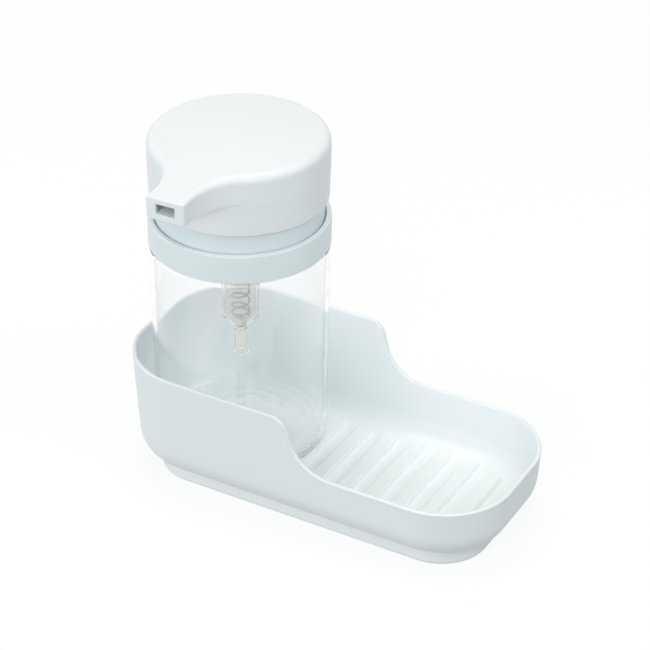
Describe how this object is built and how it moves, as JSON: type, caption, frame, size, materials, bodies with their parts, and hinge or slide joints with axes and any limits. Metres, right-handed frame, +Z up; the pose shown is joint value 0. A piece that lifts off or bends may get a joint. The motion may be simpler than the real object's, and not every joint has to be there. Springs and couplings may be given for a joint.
{
  "type": "soap pump caddy",
  "caption": "Sink caddy with a ribbed sponge bay and a clear pump bottle that stands in the tray's high end and has a wide press head with a flat spout.",
  "frame": {"origin": "middle of the whole footprint, on the surface that the foot band stands on", "axes": "+X along the tray from the bottle to the sponge bay, +Z up, the spout points to -Y"},
  "size_m": [0.1984, 0.1166, 0.1783],
  "materials": {
    "tray": "satin moulded",
    "foot_band": "matte moulded",
    "bottle": "clear polished",
    "neck_gasket": "matte moulded",
    "lid_ring": "satin moulded",
    "pump_collar": "satin moulded",
    "housing_gasket": "matte moulded",
    "pump_housing": "translucent moulded",
    "housing_nut": "matte moulded",
    "guide_cap": "matte moulded",
    "stem_seal": "matte moulded",
    "dip_tube": "translucent extruded",
    "inlet_ball": "polished",
    "return_spring": "drawn wire",
    "stem": "matte moulded",
    "piston_seal": "matte moulded",
    "outlet_ball": "polished",
    "actuator": "matte moulded",
    "head_shell": "satin moulded"
  },
  "bodies": {
    "caddy": {"tray": "tray", "foot_band": "foot_band"},
    "bottle": {"bottle": "bottle"},
    "neck_seal": {"neck_gasket": "neck_gasket"},
    "pump_core": {"pump_collar": "pump_collar", "housing_gasket": "housing_gasket", "pump_housing": "pump_housing", "housing_nut": "housing_nut", "guide_cap": "guide_cap", "stem_seal": "stem_seal", "dip_tube": "dip_tube", "return_spring": "return_spring"},
    "ring": {"lid_ring": "lid_ring"},
    "plunger": {"stem": "stem", "piston_seal": "piston_seal"},
    "head": {"actuator": "actuator", "head_shell": "head_shell"},
    "inlet_valve": {"inlet_ball": "inlet_ball"},
    "outlet_valve": {"outlet_ball": "outlet_ball"}
  },
  "joints": [
    {"name": "bottle_lift", "type": "slide", "parent": "caddy", "child": "bottle", "axis": [0, 0, 1], "range_m": [0, 0.06]},
    {"name": "pump_lift", "type": "slide", "parent": "bottle", "child": "neck_seal", "axis": [0, 0, 1], "range_m": [0, 0.12]},
    {"name": "pump_rise", "type": "slide", "parent": "neck_seal", "child": "pump_core", "axis": [0, 0, 1], "range_m": [0, 0.005]},
    {"name": "ring_turn", "type": "hinge", "parent": "pump_core", "child": "ring", "pos_m": [-0.05216, 0.00855, 0.1278], "axis": [0, 0, 1], "range_deg": [0, 450]},
    {"name": "head_press", "type": "slide", "parent": "pump_core", "child": "plunger", "axis": [0, 0, -1], "range_m": [0, 0.00945], "stiffness_N_per_m": 400, "springref_m": -0.01, "deforming": ["return_spring"]},
    {"name": "head_swivel", "type": "hinge", "parent": "plunger", "child": "head", "pos_m": [-0.05216, 0.00855, 0.16], "axis": [0, 0, 1], "continuous": true},
    {"name": "inlet_ball_lift", "type": "slide", "parent": "pump_core", "child": "inlet_valve", "axis": [0, 0, 1], "range_m": [0, 0.0012]},
    {"name": "outlet_ball_lift", "type": "slide", "parent": "plunger", "child": "outlet_valve", "axis": [0, 0, 1], "range_m": [0, 0.0015]}
  ],
  "couplings": [
    {"joint": "pump_rise", "follows": "ring_turn", "m_per_rad": 0.000636}
  ]
}
